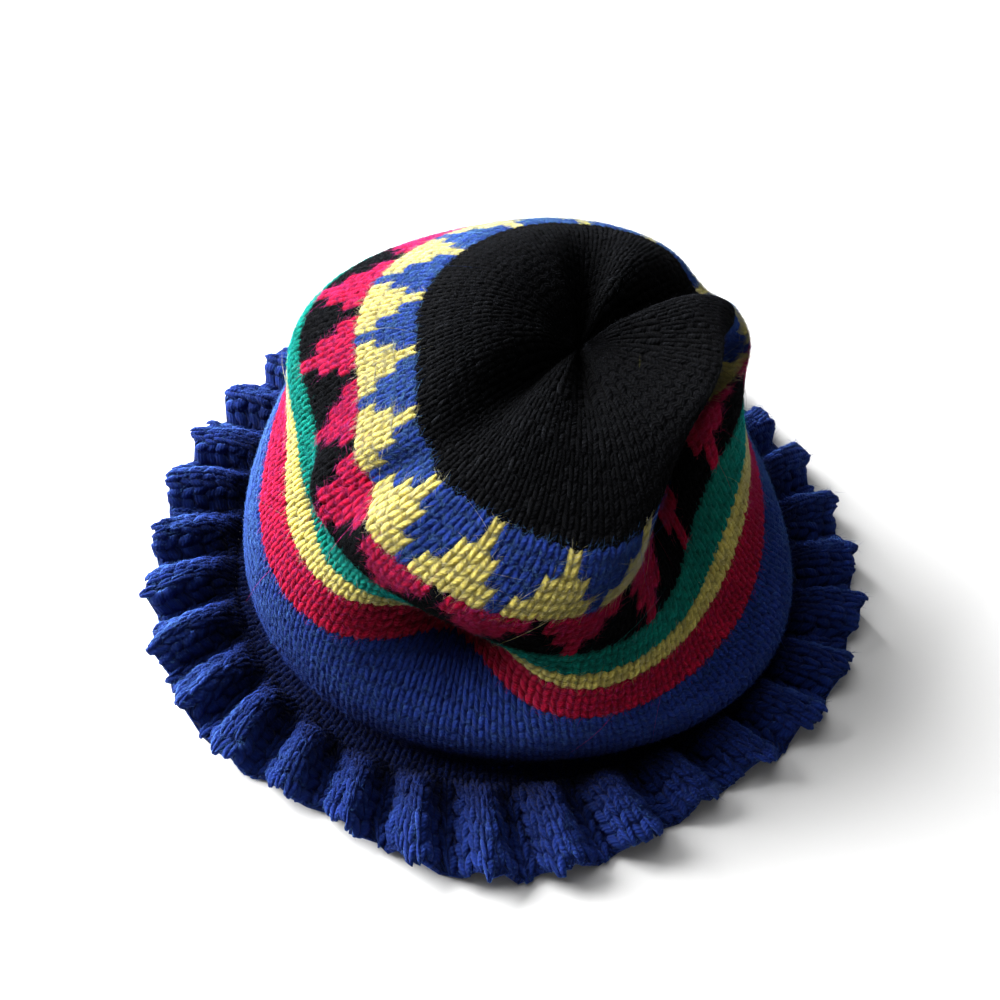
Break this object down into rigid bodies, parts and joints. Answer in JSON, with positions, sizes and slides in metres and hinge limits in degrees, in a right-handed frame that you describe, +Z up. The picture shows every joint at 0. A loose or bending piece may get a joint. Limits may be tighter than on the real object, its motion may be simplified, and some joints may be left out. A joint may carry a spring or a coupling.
{
  "type": "knit hat",
  "caption": "Slouchy knit hat with a fluted ruffle brim, striped and triangle-patterned bands and a gathered black crown, resting on its brim.",
  "frame": {"origin": "middle of the hat's base, on the surface that the ruffle rests on", "axes": "+Z up through the gathered crown, -Y towards the front with its crease, +X to the side that the crown leans over"},
  "size_m": [0.2568, 0.2684, 0.1162],
  "materials": {
    "royal_blue_wool": "matt knitted wool with a short fuzz",
    "red_wool": "matt knitted wool with a short fuzz",
    "yellow_wool": "matt knitted wool with a short fuzz",
    "green_wool": "matt knitted wool with a short fuzz",
    "black_wool": "matt knitted wool with a short fuzz"
  },
  "bodies": {
    "root": {"ruffle": "royal_blue_wool", "body": "royal_blue_wool", "red_stripe": "red_wool", "yellow_stripe": "yellow_wool", "green_stripe": "green_wool", "red_black_band": "red_wool", "yellow_blue_band": "yellow_wool", "crown": "black_wool"}
  },
  "joints": []
}
